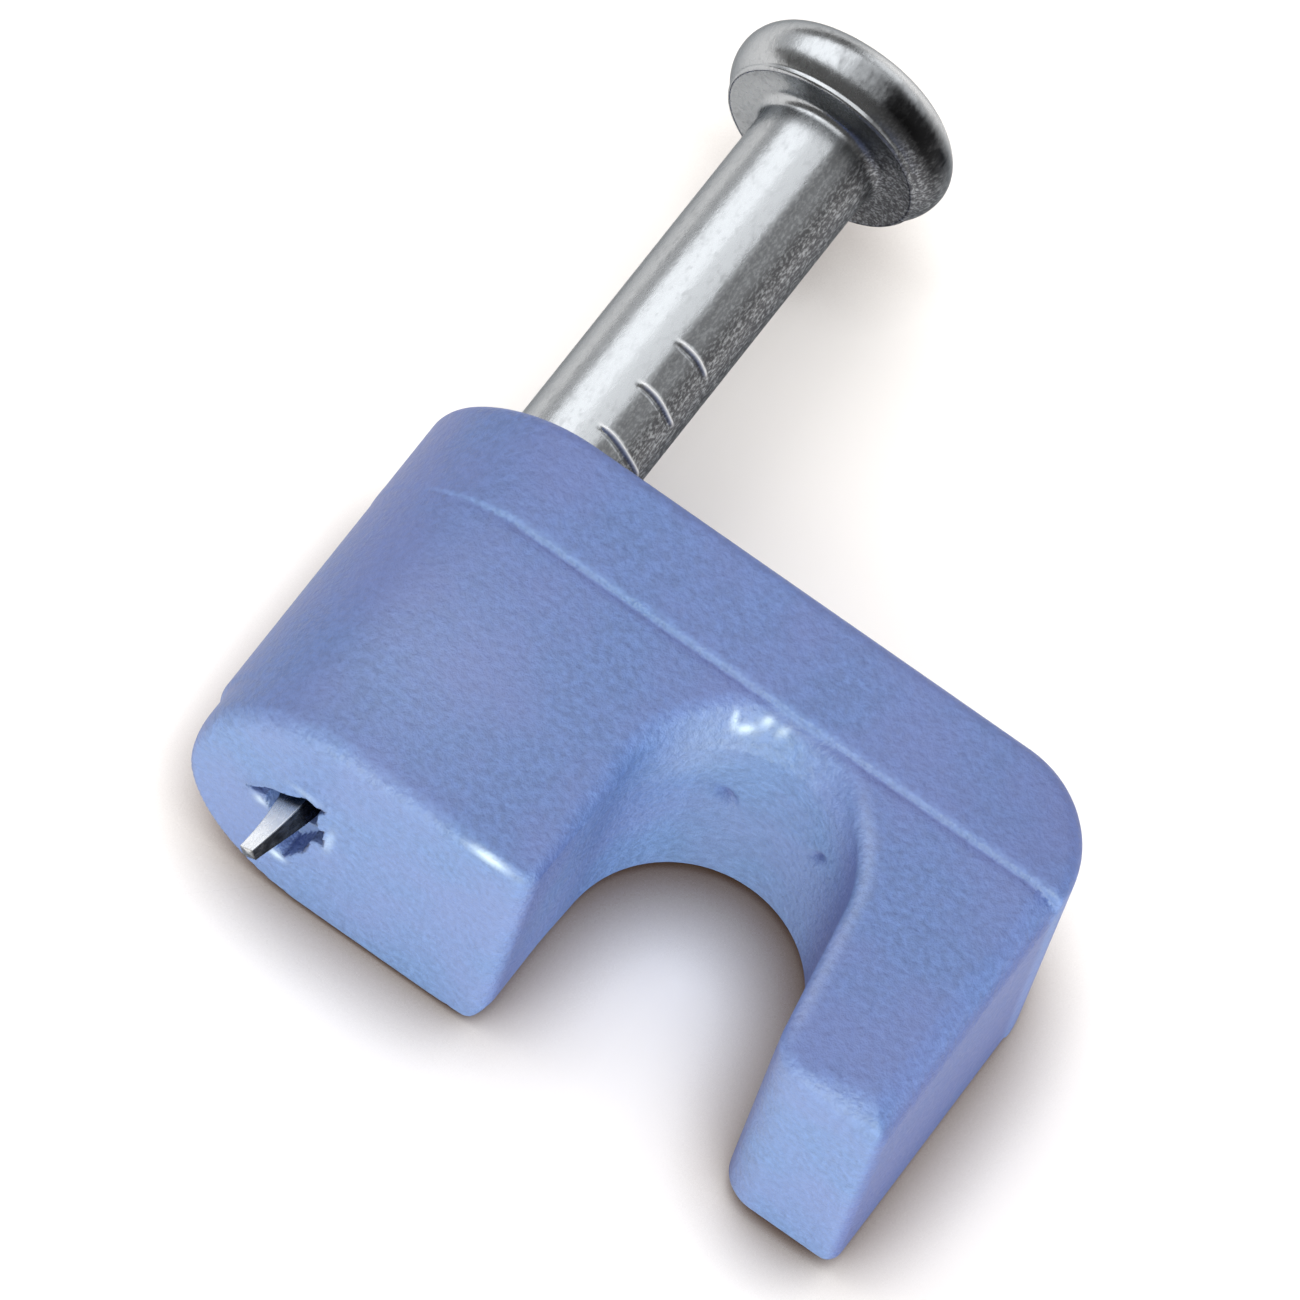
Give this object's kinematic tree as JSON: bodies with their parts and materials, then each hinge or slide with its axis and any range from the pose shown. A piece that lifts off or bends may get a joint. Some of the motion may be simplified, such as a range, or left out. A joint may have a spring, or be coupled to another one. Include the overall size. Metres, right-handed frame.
{
  "type": "nail-in cable clip",
  "caption": "Moulded plastic cable clip with an arched groove and a hook leg, held to a wall by a plated steel nail pressed through its column.",
  "frame": {"origin": "where the nail's axis meets the wall face, halfway through the clip's thickness", "axes": "+X from the nail to the hook leg, +Y from the wall to the nail head, +Z along the cable and up, as the clip lies on its side"},
  "size_m": [0.0149, 0.02, 0.0064],
  "materials": {
    "blue_plastic": "finely grained, as moulded",
    "plated_steel": "bright zinc plate"
  },
  "bodies": {
    "root": {"clip_body": "blue_plastic", "nail": "plated_steel"}
  },
  "joints": []
}
